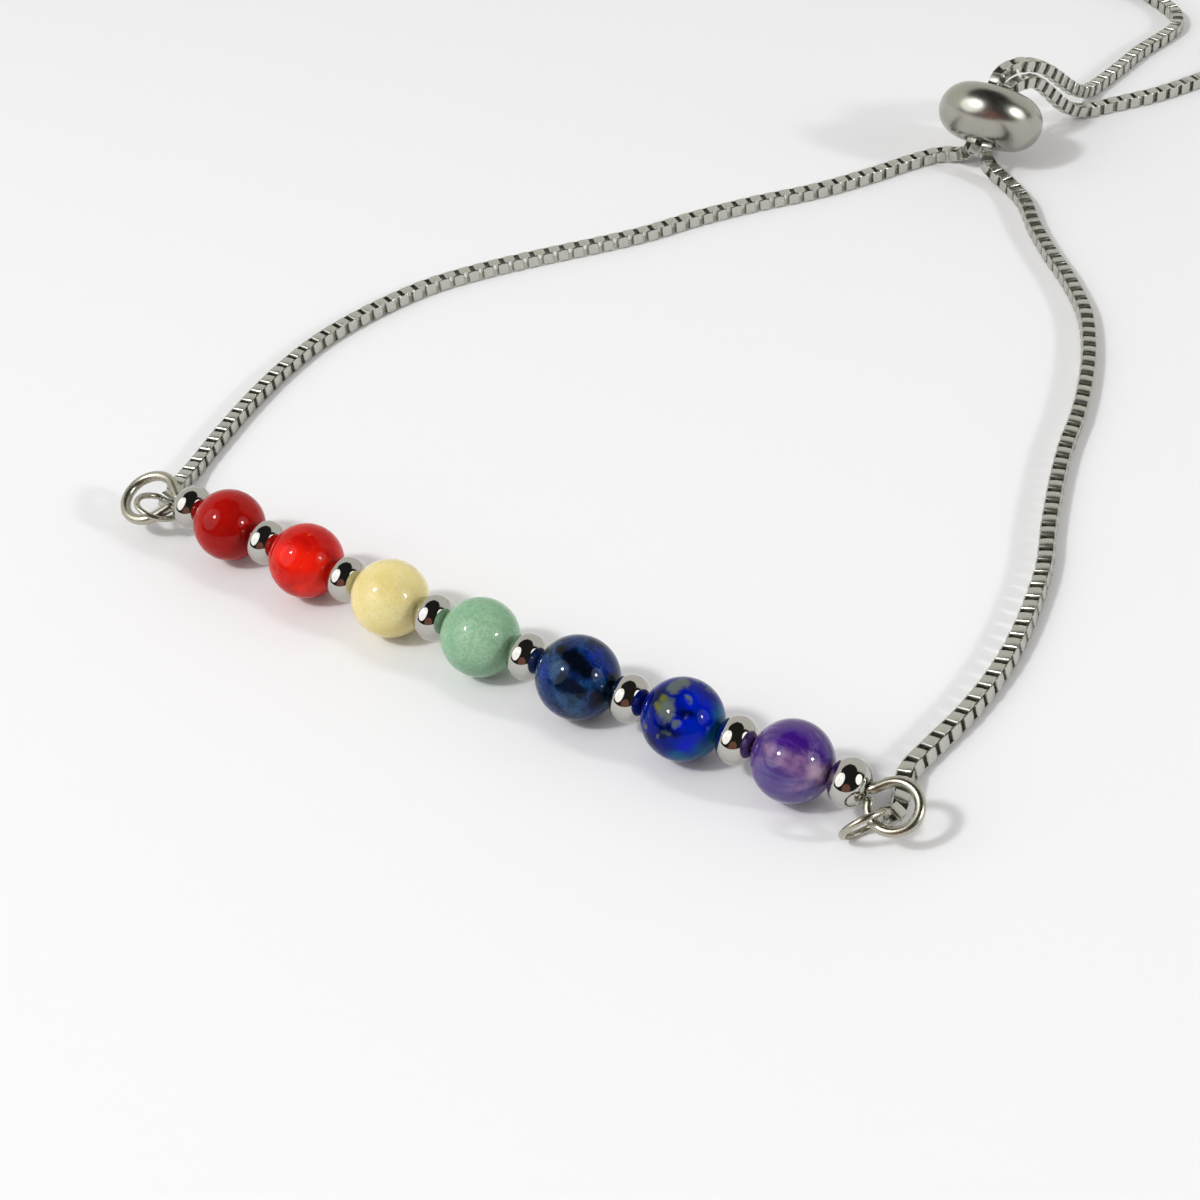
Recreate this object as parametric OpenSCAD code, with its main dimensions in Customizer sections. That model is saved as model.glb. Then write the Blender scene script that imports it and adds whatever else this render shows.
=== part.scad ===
// Bolo slider bracelet: a row of seven stones on a bowed pin, and two box
// chain strands that run from its ends through one slider bead.
// It lies on a flat surface at z = 0, with the row of stones along X.

/* [Stones] */
// Diameter of the dark red bead
dark_red_d = 5.8; // [5:0.05:7]
// Diameter of the orange red bead
orange_red_d = 5.95; // [5:0.05:7]
// Diameter of the pale yellow bead
yellow_d = 6.05; // [5:0.05:7]
// Diameter of the sage green bead
green_d = 6; // [5:0.05:7]
// Diameter of the dark blue bead
dark_blue_d = 6.25; // [5:0.05:7]
// Diameter of the bright blue bead
bright_blue_d = 6; // [5:0.05:7]
// Diameter of the violet bead
violet_d = 5.85; // [5:0.05:7]
// Diameter of the hole through each stone
stone_bore_d = 1; // [0.9:0.05:1.4]

/* [Spacer beads] */
// Diameter of a spacer bead
spacer_d = 3.6; // [3.3:0.05:4.4]
// Length of a spacer bead along the pin
spacer_l = 2.7; // [2.2:0.05:3.2]
// Diameter of the hole through a spacer bead
spacer_bore_d = 1; // [0.9:0.05:1.4]
// Space between two neighbours on the pin
bead_gap = 0.05; // [0.03:0.01:0.2]

/* [Pin] */
// Diameter of the pin's wire inside the beads
pin_d = 0.65; // [0.4:0.05:0.8]
// How far the middle of the bowed row lies in front of its ends
bar_bow = 0.9; // [0.3:0.05:2]

/* [Left loop] */
// Radius of the loop, to the middle of its wire
left_loop_r = 2.2; // [2:0.05:2.6]
// Diameter of the loop's wire
left_loop_wire = 0.8; // [0.65:0.05:0.9]
// Bare pin between the last spacer and the loop's wire
left_neck = 1.2; // [0.8:0.05:1.6]
// How far the loop hangs below the line of the pin
left_loop_drop = 0.9; // [0:0.05:1.2]
// Elevation of the loop's face
left_loop_tilt = 70; // [60:1:80]

/* [Right loop] */
// Radius of the loop, to the middle of its wire
right_loop_r = 1.75; // [1.6:0.05:2.2]
// Diameter of the loop's wire
right_loop_wire = 0.65; // [0.6:0.05:0.8]
// Bare pin between the last spacer and the loop's wire
right_neck = 0.45; // [0.4:0.05:1]
// How far the loop hangs below the line of the pin
right_loop_drop = 0.5; // [0:0.05:0.8]
// Elevation of the loop's face
right_loop_tilt = 62; // [50:1:75]

/* [Connecting rings] */
// Radius of a ring, to the middle of its wire
ring_r = 1.7; // [1.6:0.05:2]
// Diameter of a ring's wire
ring_wire = 0.5; // [0.4:0.02:0.54]
// Clear space between the left loop's wire and its ring
left_ring_play = 0.1; // [0.05:0.01:0.3]
// Clear space between the right loop's wire and its ring
right_ring_play = 0.5; // [0.3:0.01:0.6]

/* [Box chain] */
// Width of the square chain
chain_w = 1.3; // [1.2:0.02:1.4]
// Outer length of one link
link_l = 1.2; // [1.16:0.02:1.4]
// Width of the strip that a link is bent from
link_strip_w = 0.86; // [0.7:0.02:0.88]
// Thickness of that strip
link_t = 0.2; // [0.15:0.01:0.22]
// Clear space between the end link and the ring in it
link_play = 0.05; // [0.03:0.01:0.08]

/* [Slider bead] */
// Diameter of the slider bead
slider_d = 10.4; // [9:0.1:12]
// Thickness of the slider bead along its hole
slider_t = 5.2; // [4.5:0.1:6]
// Lean of its hole away from the row of stones
slider_tilt = 40; // [35:1:45]
// Height of its middle
slider_z = 5; // [4.9:0.1:5.6]
// Space between the two strands in the hole
strand_gap = 0.2; // [0.1:0.05:0.4]
// Clear space between the strands' corners and the hole
bore_clear = 0.12; // [0.08:0.01:0.3]

/* [End beads] */
// Diameter of the bead on each free end
end_bead_d = 3.2; // [2.8:0.1:4]
// Length of the chain's end held inside that bead
end_grip = 1.3; // [0.8:0.1:1.6]
// Clear space round the chain in that bead
end_clear = 0.12; // [0.08:0.01:0.3]

/* [Hidden] */
$fn = 64;

// Where the middle of the row of stones lies from the origin
bar_at = [2.62, -63.44];
// Where the middle of the slider bead lies from the middle of the row
slider_x = -2.1;
slider_y = 85.7;

// Each ring's lean as the azimuth and elevation of its face, then the turns
// round that face from its level line to the loop's wire and to the chain
left_hook = 337;
left_ring_lean = [54, 63];
left_ring_to_loop = 93;
left_ring_to_chain = 50;
right_hook = 232;
right_ring_lean = [150, 27];
right_ring_to_loop = 32;
right_ring_to_chain = -76;

// Routes of the strands from the middle of the row, [x, y, z]. Each goes
// from its ring to the slider bead, and from there to its free end.
rest_z = chain_w / 2;
left_to_slider = [
    [-35.6, 3, 1.6], [-36.6, 5, 1], [-37.5, 7.5, rest_z],
    [-38.5, 11, rest_z], [-39.5, 15, rest_z], [-40.3, 19, rest_z],
    [-40.8, 23, rest_z], [-40.9, 27, rest_z], [-40.4, 31, rest_z],
    [-39.3, 35.5, rest_z], [-37.6, 40, rest_z], [-34.8, 44.5, rest_z],
    [-31.5, 48.8, rest_z], [-28, 53, rest_z], [-24.7, 57.2, rest_z],
    [-21.8, 62, rest_z], [-18.2, 67, rest_z], [-14, 72, rest_z],
    [-10.9, 76.8, rest_z], [-8.6, 81, rest_z], [-6.8, 83.7, rest_z],
    [-4.9, 84.4, 0.9], [-3.4, 83.7, 1.9]
];
left_to_end = [
    [-2.6, 88.7, 8.1], [-1.7, 90, 8.6], [-0.8, 91.4, 8.3],
    [-0.2, 93, 7.4], [0.3, 94.7, 6], [0.6, 96.8, 4.2],
    [0.8, 99.5, 2.2], [0.9, 102.6, 0.9], [1.2, 106, rest_z],
    [1.5, 109.5, rest_z], [1.8, 113.4, rest_z], [2.6, 117.5, rest_z],
    [2.8, 120.5, rest_z], [1.6, 123.2, rest_z], [-0.8, 125.3, rest_z],
    [-3.1, 126.6, 0.9]
];
right_to_slider = [
    [33.5, 2.6, 1], [32.9, 4.3, 0.75], [32.5, 6, rest_z],
    [32.8, 9, rest_z], [33.2, 12.5, rest_z], [33.3, 16.5, rest_z],
    [33, 20.5, rest_z], [32.2, 25, rest_z], [30.9, 30, rest_z],
    [29.1, 34.5, rest_z], [27.3, 39.5, rest_z], [25.8, 44.3, rest_z],
    [24.6, 49.3, rest_z], [23.1, 54, rest_z], [21.2, 58.7, rest_z],
    [18.6, 63.5, rest_z], [15, 67.9, rest_z], [11.3, 71.6, rest_z],
    [8, 75.2, rest_z], [5.2, 78.8, rest_z], [2.4, 81.2, 0.7],
    [0.2, 82.2, 1.2], [-0.9, 82.8, 2]
];
right_to_end = [
    [-1, 88.5, 7.3], [-0.6, 89.6, 7.3], [-0.1, 90.9, 6.9],
    [0.4, 92.4, 5.6], [0.9, 94, 3.9], [1.3, 95.8, 2.2],
    [1.8, 97.6, 1.1], [2.9, 99.3, rest_z], [4.2, 101, rest_z],
    [5.8, 103, rest_z], [7.5, 105.3, rest_z], [9, 108, rest_z],
    [10.6, 111.2, rest_z], [12, 114, 0.9]
];
left_end_at = [-6.1, 128.2];
right_end_at = [13.5, 117.2];

// The row: stones and spacers take turns from left to right, on an arc
stone_ds = [dark_red_d, orange_red_d, yellow_d, green_d, dark_blue_d, bright_blue_d, violet_d];
stones = len(stone_ds);
function sum_of(list, last) = last < 0 ? 0 : list[last] + sum_of(list, last - 1);
row_l = sum_of(stone_ds, stones - 1) + (stones + 1) * spacer_l + 2 * stones * bead_gap;
bar_z = max(stone_ds) / 2;
bow_r = (pow(row_l / 2, 2) + pow(bar_bow, 2)) / (2 * bar_bow);
function bow_angle(s) = s / bow_r * 180 / PI;
function bow_point(s) = [
    bow_r * sin(bow_angle(s)),
    bow_r * (1 - cos(bow_angle(s))),
    bar_z
];
function spacer_s(i) =
    -row_l / 2 + spacer_l / 2 + i * (spacer_l + 2 * bead_gap) + sum_of(stone_ds, i - 1);
function stone_s(i) = spacer_s(i) + spacer_l / 2 + bead_gap + stone_ds[i] / 2;

// Loops and rings: a loop's face leans by its tilt and follows the bow
function turned(v, a) = [v[0] * cos(a) - v[1] * sin(a), v[0] * sin(a) + v[1] * cos(a), v[2]];
function loop_up(tilt) = [0, sin(tilt), cos(tilt)];
function loop_at(side, r, drop, neck, tilt) =
    bow_point(side * row_l / 2)
    + turned([side * (neck + sqrt(r * r - drop * drop)), 0, 0] - drop * loop_up(tilt),
             bow_angle(side * row_l / 2));
function on_loop(at, side, r, tilt, hook) =
    at + turned([r * cos(hook), 0, 0] + r * sin(hook) * loop_up(tilt), bow_angle(side * row_l / 2));
function face(lean) = [cos(lean[1]) * cos(lean[0]), cos(lean[1]) * sin(lean[0]), sin(lean[1])];
function in_face(lean, turn) =
    cos(turn) * [sin(lean[1]) * cos(lean[0]), sin(lean[1]) * sin(lean[0]), -cos(lean[1])]
    + sin(turn) * [-sin(lean[0]), cos(lean[0]), 0];

left_loop_at = loop_at(-1, left_loop_r, left_loop_drop, left_neck, left_loop_tilt);
right_loop_at = loop_at(1, right_loop_r, right_loop_drop, right_neck, right_loop_tilt);
left_ring_at =
    on_loop(left_loop_at, -1, left_loop_r, left_loop_tilt, left_hook)
    + (ring_r - (ring_wire + left_loop_wire) / 2 - left_ring_play)
    * in_face(left_ring_lean, left_ring_to_loop);
right_ring_at =
    on_loop(right_loop_at, 1, right_loop_r, right_loop_tilt, right_hook)
    + (ring_r - (ring_wire + right_loop_wire) / 2 - right_ring_play)
    * in_face(right_ring_lean, right_ring_to_loop);

// Strands: the end link hangs on its ring, and the rest is one swept body
ring_in = ring_r - ring_wire / 2;
ring_sag = ring_in - sqrt(pow(ring_in, 2) - pow(link_strip_w / 2, 2));
link_reach = link_l / 2 - link_t - ring_wire / 2 - ring_sag - link_play;
left_out = in_face(left_ring_lean, left_ring_to_chain);
right_out = in_face(right_ring_lean, right_ring_to_chain);
left_link_at = left_ring_at + (ring_r + link_reach) * left_out;
right_link_at = right_ring_at + (ring_r + link_reach) * right_out;
lane_x = (chain_w + strand_gap) / 2;
hole_way = [0, sin(slider_tilt), cos(slider_tilt)];
slider_at = [slider_x, slider_y, slider_z];
function lane(side, share) = slider_at + [side * lane_x, 0, 0] + share * slider_t / 2 * hole_way;
left_route = concat(
    [left_link_at + (link_l - link_t) / 2 * left_out], left_to_slider,
    [lane(-1, -0.9), lane(-1, 0), lane(-1, 0.9)],
    left_to_end,
    [concat(left_end_at, [end_bead_d / 2])]
);
right_route = concat(
    [right_link_at + (link_l - link_t) / 2 * right_out], right_to_slider,
    [lane(1, -0.9), lane(1, 0), lane(1, 0.9)],
    right_to_end,
    [concat(right_end_at, [end_bead_d / 2])]
);
slider_bore_d =
    2 * (norm([lane_x + chain_w / 2, chain_w / 2]) + bore_clear);
tube_sides = 8;
corner_r = chain_w / 2 / cos(180 / tube_sides);
end_bore_d = 2 * (corner_r + end_clear);

function unit(v) = v / norm(v);
function heading(route, i) =
    unit(route[min(i + 1, len(route) - 1)] - route[max(i - 1, 0)]);
function level_side(d) = unit(cross(d, [0, 0, 1]));
function tube_ring(at, d) = [
    for (k = [0 : tube_sides - 1])
        let (a = (k + 0.5) * 360 / tube_sides)
        at + corner_r * (cos(a) * level_side(d) + sin(a) * cross(level_side(d), d))
];

module swept(route) {
    rings = len(route);
    points = [for (i = [0 : rings - 1]) each tube_ring(route[i], heading(route, i))];
    walls = [
        for (i = [0 : rings - 2], k = [0 : tube_sides - 1])
            let (n = (k + 1) % tube_sides, a = i * tube_sides, b = a + tube_sides)
            each [[a + k, b + n, b + k], [a + k, a + n, b + n]]
    ];
    near_end = [for (k = [tube_sides - 1 : -1 : 0]) k];
    far_end = [for (k = [0 : tube_sides - 1]) (rings - 1) * tube_sides + k];
    polyhedron(points, concat(walls, [near_end, far_end]), convexity = 10);
}

// A bent strip with a window, its length along the chain's way out
module end_link(at, way, hole) {
    side = cross(hole, way);
    multmatrix([
        [way[0], side[0], hole[0], at[0]],
        [way[1], side[1], hole[1], at[1]],
        [way[2], side[2], hole[2], at[2]],
        [0, 0, 0, 1]
    ])
    difference() {
        cube([link_l, chain_w, link_strip_w], center = true);
        cube([link_l - 2 * link_t, chain_w - 2 * link_t, link_strip_w + 1], center = true);
    }
}

module wire_ring(r, wire) {
    rotate_extrude() translate([r, 0]) circle(d = wire);
}

module on_table() {
    translate([bar_at[0], bar_at[1], 0]) children();
}

module on_bow(s) {
    on_table() translate(bow_point(s)) rotate([0, 0, bow_angle(s)]) children();
}

module stone(i) {
    d = stone_ds[i];
    on_bow(stone_s(i)) rotate([0, 90, 0]) rotate_extrude() intersection() {
        circle(d = d);
        translate([stone_bore_d / 2, -d / 2]) square([d, d]);
    }
}

// A round rimmed bead with its hole along Z
module rimmed_bead(d, l, bore) {
    difference() {
        union() {
            rotate_extrude() translate([(d - l) / 2, 0]) intersection() {
                circle(d = l);
                translate([0, -l / 2]) square([l / 2, l]);
            }
            cylinder(r = (d - l) / 2, h = l, center = true);
        }
        cylinder(d = bore, h = l + 1, center = true);
    }
}

module spacer_bead(i) {
    color("silver") on_bow(spacer_s(i)) rotate([0, 90, 0]) rimmed_bead(spacer_d, spacer_l, spacer_bore_d);
}

module eye_loop(at, side, r, wire, tilt) {
    translate(at) rotate([90 - tilt, 0, bow_angle(side * row_l / 2)]) wire_ring(r, wire);
}

module eye_pin() {
    from = bow_angle(-row_l / 2 - left_neck);
    to = bow_angle(row_l / 2 + right_neck);
    color("lightgray") on_table() {
        translate([0, bow_r, bar_z]) rotate([0, 0, from - 90])
            rotate_extrude(angle = to - from, $fn = 1440) translate([bow_r, 0]) circle(d = pin_d, $fn = 24);
        eye_loop(left_loop_at, -1, left_loop_r, left_loop_wire, left_loop_tilt);
        eye_loop(right_loop_at, 1, right_loop_r, right_loop_wire, right_loop_tilt);
    }
}

module dark_red_bead() {
    color([0.6, 0.06, 0.05]) stone(0);
}

module orange_red_bead() {
    color([0.86, 0.1, 0.08]) stone(1);
}

module yellow_bead() {
    color([0.88, 0.8, 0.55]) stone(2);
}

module green_bead() {
    color([0.55, 0.72, 0.58]) stone(3);
}

module dark_blue_bead() {
    color([0.08, 0.14, 0.34]) stone(4);
}

module bright_blue_bead() {
    color([0.02, 0.1, 0.62]) stone(5);
}

module violet_bead() {
    color([0.42, 0.22, 0.58]) stone(6);
}

module connecting_ring(at, lean) {
    color("lightgray") on_table() translate(at) rotate([0, 90 - lean[1], lean[0]]) wire_ring(ring_r, ring_wire);
}

module ring_left() {
    connecting_ring(left_ring_at, left_ring_lean);
}

module ring_right() {
    connecting_ring(right_ring_at, right_ring_lean);
}

module chain_left() {
    color("silver") on_table() {
        swept(left_route);
        end_link(left_link_at, left_out, cross(face(left_ring_lean), left_out));
    }
}

module chain_right() {
    color("silver") on_table() {
        swept(right_route);
        end_link(right_link_at, right_out, cross(face(right_ring_lean), right_out));
    }
}

module slider_bead() {
    color("gainsboro") on_table() translate(slider_at) rotate([-slider_tilt, 0, 0])
        rimmed_bead(slider_d, slider_t, slider_bore_d);
}

// A ball with a blind hole that takes the end of a strand
module end_bead(route) {
    last = len(route) - 1;
    way = unit(route[last] - route[last - 1]);
    turn = atan2(way[1], way[0]);
    color("silver") on_table()
        translate(route[last] + (end_bead_d / 2 - end_grip) * way)
        rotate([0, acos(way[2]), turn])
        difference() {
            sphere(d = end_bead_d);
            translate([0, 0, -end_bead_d])
                cylinder(d = end_bore_d, h = end_bead_d / 2 + end_grip + end_clear);
        }
}

module end_bead_left() {
    end_bead(left_route);
}

module end_bead_right() {
    end_bead(right_route);
}

eye_pin();
dark_red_bead();
orange_red_bead();
yellow_bead();
green_bead();
dark_blue_bead();
bright_blue_bead();
violet_bead();
spacer_bead(0);  // spacer_bead_1
spacer_bead(1);  // spacer_bead_2
spacer_bead(2);  // spacer_bead_3
spacer_bead(3);  // spacer_bead_4
spacer_bead(4);  // spacer_bead_5
spacer_bead(5);  // spacer_bead_6
spacer_bead(6);  // spacer_bead_7
spacer_bead(7);  // spacer_bead_8
ring_left();
ring_right();
chain_left();
chain_right();
slider_bead();
end_bead_left();
end_bead_right();
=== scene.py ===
import math

import bpy
from mathutils import Matrix, Vector


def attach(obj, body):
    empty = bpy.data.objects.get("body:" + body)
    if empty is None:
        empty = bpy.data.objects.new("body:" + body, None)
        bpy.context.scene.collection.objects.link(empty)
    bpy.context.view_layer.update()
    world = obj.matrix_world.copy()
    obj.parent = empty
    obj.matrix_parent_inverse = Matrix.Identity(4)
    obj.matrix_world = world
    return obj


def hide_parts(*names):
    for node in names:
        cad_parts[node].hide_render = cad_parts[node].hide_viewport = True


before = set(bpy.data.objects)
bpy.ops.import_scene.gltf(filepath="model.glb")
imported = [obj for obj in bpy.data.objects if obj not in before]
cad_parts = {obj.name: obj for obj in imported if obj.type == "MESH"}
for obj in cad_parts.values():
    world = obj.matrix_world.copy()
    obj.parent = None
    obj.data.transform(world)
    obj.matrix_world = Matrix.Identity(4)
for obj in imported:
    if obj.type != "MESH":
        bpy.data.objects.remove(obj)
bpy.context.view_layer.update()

mm = 0.001  # the tables are in mm and degrees, the lights' in m and W
scene = bpy.context.scene
barAt = Vector((2.62, -63.44, 0))  # middle of the row of stones on the table
bow = {"radius": 572.9, "height": 3.125, "halfRow": 32.1}
# the camera's own axes: the stones' patches are placed by them and the camera is built from them
right = Vector((0.812824, 0.576073, -0.086353))
down = Vector((0.321699, -0.56752, -0.757912))
ahead = Vector((-0.48562, 0.58827, -0.646616))


def meshObject(name, points, faces, place=Matrix.Identity(4)):
    mesh = bpy.data.meshes.new(name)
    mesh.from_pydata([(place @ Vector(p)) * mm for p in points], [], faces)
    mesh.polygons.foreach_set("use_smooth", [True] * len(mesh.polygons))
    mesh.update()
    obj = bpy.data.objects.new(name, mesh)
    scene.collection.objects.link(obj)
    return obj


def lathe(name, profile, steps, place, closed=True):
    points, faces = [], []
    count = len(profile)
    for i in range(steps):
        a = 2 * math.pi * i / steps
        points += [(r * math.cos(a), r * math.sin(a), z) for r, z in profile]
    spans = count if closed else count - 1
    for i in range(steps):
        j = (i + 1) % steps
        for k in range(spans):
            n = (k + 1) % count
            faces.append((i * count + k, j * count + k, j * count + n, i * count + n))
    if not closed:  # both ends of the profile lie on the axis
        firstPole, lastPole = len(points), len(points) + 1
        points += [(0, 0, profile[0][1]), (0, 0, profile[-1][1])]
        for i in range(steps):
            j = (i + 1) % steps
            faces.append((firstPole, j * count, i * count))
            faces.append((lastPole, i * count + count - 1, j * count + count - 1))
    return meshObject(name, points, faces, place)


def arc(centre, radius, start, end, steps):
    return [(centre[0] + radius * math.cos(start + (end - start) * i / steps),
             centre[1] + radius * math.sin(start + (end - start) * i / steps)) for i in range(steps + 1)]


# the rings of a wire's rounded end are given in degrees from its straight side
roundWire = {"sides": 20, "capTurns": (80, 55, 30)}


def wire(name, path):
    # path holds (point, radius) pairs, and both ends are rounded off
    sides = roundWire["sides"]
    spots = [Vector(p) for p, r in path]
    radii = [r for p, r in path]
    count = len(spots)
    headings = [(spots[min(i + 1, count - 1)] - spots[max(i - 1, 0)]).normalized() for i in range(count)]
    side = headings[0].orthogonal().normalized()
    rings = []
    for i in range(count):
        side = (side - side.dot(headings[i]) * headings[i]).normalized()
        rings.append((spots[i], headings[i], side.copy(), radii[i]))
    capTurns = [math.radians(turn) for turn in roundWire["capTurns"]]

    def cap(ring, turn, way):
        s, h, d, r = ring
        return s + way * h * r * math.sin(turn), h, d, r * math.cos(turn)

    capped = [cap(rings[0], turn, -1) for turn in capTurns] + rings
    capped += [cap(rings[-1], turn, 1) for turn in reversed(capTurns)]
    points, faces = [], []
    for s, h, d, r in capped:
        other = h.cross(d)
        for k in range(sides):
            a = 2 * math.pi * k / sides
            points.append(s + (d * math.cos(a) + other * math.sin(a)) * r)
    for i in range(len(capped) - 1):
        for k in range(sides):
            n = (k + 1) % sides
            faces.append((i * sides + k, i * sides + n, (i + 1) * sides + n, (i + 1) * sides + k))
    faces.append(tuple(reversed(range(sides))))
    faces.append(tuple(range((len(capped) - 1) * sides, len(capped) * sides)))
    return meshObject(name, points, faces)


def onBow(s):
    # a place on the bowed row, s mm from its middle
    a = s / bow["radius"]
    away = Vector((bow["radius"] * math.sin(a), bow["radius"] * (1 - math.cos(a)), bow["height"]))
    return Matrix.Translation(barAt + away) @ Matrix.Rotation(a, 4, "Z")


def newMaterial(name):
    material = bpy.data.materials.new(name)
    material.use_nodes = True
    return material, material.node_tree, material.node_tree.nodes["Principled BSDF"]


def feed(tree, node, inputs):
    # gives each socket a value or another node's output
    for socket, source in dict(inputs).items():
        if hasattr(source, "is_output"):
            tree.links.new(source, node.inputs[socket])
        else:
            node.inputs[socket].default_value = source


def addNode(tree, kind, inputs=(), **settings):
    node = tree.nodes.new(kind)
    for key, value in settings.items():
        setattr(node, key, value)
    feed(tree, node, inputs)
    return node


def eased(tree, value, low, high):
    # 0 at low and 1 at high, with a soft start and end
    ramp = addNode(tree, "ShaderNodeMapRange", {"Value": value, "From Min": low, "From Max": high},
                   interpolation_type="SMOOTHSTEP")
    return ramp.outputs["Result"]


def beadSpace(tree, centre, radius):
    # coordinates with the bead's middle at 0 and its surface at 1
    coordinates = addNode(tree, "ShaderNodeTexCoord")
    centred = addNode(tree, "ShaderNodeMapping", {
        "Vector": coordinates.outputs["Object"], "Location": [-c / radius for c in centre],
        "Scale": [1 / radius] * 3})
    return centred.outputs["Vector"]


grainDetail = 3.0  # of the noise in stones and metals


def noiseMask(tree, vector, scale, low, high, stretch=(1, 1, 1), shift=(0, 0, 0), warp=0.0):
    mapping = addNode(tree, "ShaderNodeMapping", {"Vector": vector, "Scale": stretch, "Location": shift})
    noise = addNode(tree, "ShaderNodeTexNoise", {
        "Vector": mapping.outputs["Vector"], "Scale": scale, "Detail": grainDetail, "Distortion": warp})
    return eased(tree, noise.outputs["Fac"], low, high)


def facing(across, below):
    # the way from a bead's middle to a place on it, given as the camera sees it
    return across * right + below * down - math.sqrt(max(0.0, 1 - across ** 2 - below ** 2)) * ahead


# the noise that frays a patch's edge
ragged = {"scale": 3.2, "detail": 6.0, "middle": 0.5, "wobble": 0.1}


def spotMask(tree, vector, spots, soft, wobble=ragged["wobble"]):
    # patches at (across, below, radius) as the camera sees them
    noise = addNode(tree, "ShaderNodeTexNoise", {
        "Vector": vector, "Scale": ragged["scale"], "Detail": ragged["detail"]})
    level = addNode(tree, "ShaderNodeVectorMath", {0: noise.outputs["Color"], 1: [ragged["middle"]] * 3},
                    operation="SUBTRACT")
    moved = addNode(tree, "ShaderNodeVectorMath", {0: level.outputs["Vector"], 1: [wobble] * 3, 2: vector},
                    operation="MULTIPLY_ADD")
    result = None
    for across, below, radius in spots:
        away = addNode(tree, "ShaderNodeVectorMath", {0: moved.outputs["Vector"], 1: facing(across, below)},
                       operation="DISTANCE")
        patch = eased(tree, away.outputs["Value"], radius * (1 + soft), radius * (1 - soft))
        if result is None:
            result = patch
        else:
            result = addNode(tree, "ShaderNodeMath", {0: result, 1: patch}, operation="MAXIMUM").outputs[0]
    return result


def layered(tree, base, vector, layers):
    # each layer mixes its colour over what lies below, by patches or by noise
    colour = (*base, 1)
    for layer in layers:
        shape = {key: value for key, value in layer.items() if key not in ("colour", "strength")}
        mask = spotMask(tree, vector, **shape) if "spots" in layer else noiseMask(tree, vector, **shape)
        strength = addNode(tree, "ShaderNodeMath", {0: mask, 1: layer.get("strength", 1.0)},
                           operation="MULTIPLY")
        mix = addNode(tree, "ShaderNodeMix", {
            "Factor": strength.outputs[0], "A": colour, "B": (*layer["colour"], 1)}, data_type="RGBA")
        colour = mix.outputs["Result"]
    return colour


polish = {"roughness": 0.06, "ior": 1.55, "hazeRoughness": 0.3}


def stoneMaterial(name, look, centre, radius):
    material, tree, shader = newMaterial(name)
    feed(tree, shader, {
        "Base Color": layered(tree, look["base"], beadSpace(tree, centre, radius), look["layers"]),
        "Roughness": polish["roughness"], "IOR": polish["ior"], "Specular IOR Level": look["gloss"],
        "Sheen Weight": look.get("haze", 0.0), "Sheen Roughness": polish["hazeRoughness"],
        "Subsurface Weight": look["cloud"], "Subsurface Scale": look["depth"] * mm,
        "Subsurface Radius": look["reach"], "Transmission Weight": look.get("clear", 0.0)})
    return material


def metalMaterial(name, look):
    material, tree, shader = newMaterial(name)
    coordinates = addNode(tree, "ShaderNodeTexCoord")
    noise = addNode(tree, "ShaderNodeTexNoise", {
        "Vector": coordinates.outputs["Object"], "Scale": look["grain"] / mm, "Detail": grainDetail})
    low, high = look["rough"]
    spread = addNode(tree, "ShaderNodeMapRange", {
        "Value": noise.outputs["Fac"], "To Min": low, "To Max": high})
    feed(tree, shader, {
        "Base Color": (*look["colour"], 1), "Metallic": 1.0, "Roughness": spread.outputs["Result"]})
    if "dent" in look:
        bump = addNode(tree, "ShaderNodeBump", {
            "Height": noise.outputs["Fac"], "Strength": look["dent"], "Distance": look["dentDepth"] * mm})
        feed(tree, shader, {"Normal": bump.outputs["Normal"]})
    return material


metals = {
    "spacerPolish": {"colour": (0.5, 0.49, 0.455), "grain": 3.0, "rough": (0.03, 0.07)},
    "sliderPolish": {"colour": (0.42, 0.41, 0.36), "grain": 2.0, "rough": (0.22, 0.3)},
    "wireFinish": {"colour": (0.46, 0.44, 0.36), "grain": 2.5, "rough": (0.22, 0.32), "dent": 0.05,
                   "dentDepth": 0.02},
    "chainFinish": {"colour": (0.54, 0.54, 0.49), "grain": 2.0, "rough": (0.24, 0.32)},
}
metal = {name: metalMaterial(name, look) for name, look in metals.items()}


def finish(obj, material, slot, *replaced):
    obj.data.materials.clear()
    obj.data.materials.append(material)
    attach(obj, "root")
    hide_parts(*replaced)


alongRow = Matrix.Rotation(math.pi / 2, 4, "Y")  # turns a lathed bead's hole onto the row
stone = {"bore": 1.0, "rim": 0.12, "steps": 96, "arcSteps": 60}
lip = {"drop": 0.25, "in": 0.3, "up": 0.05}  # the rounded lip of a drilled hole, in shares of the rim
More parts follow.
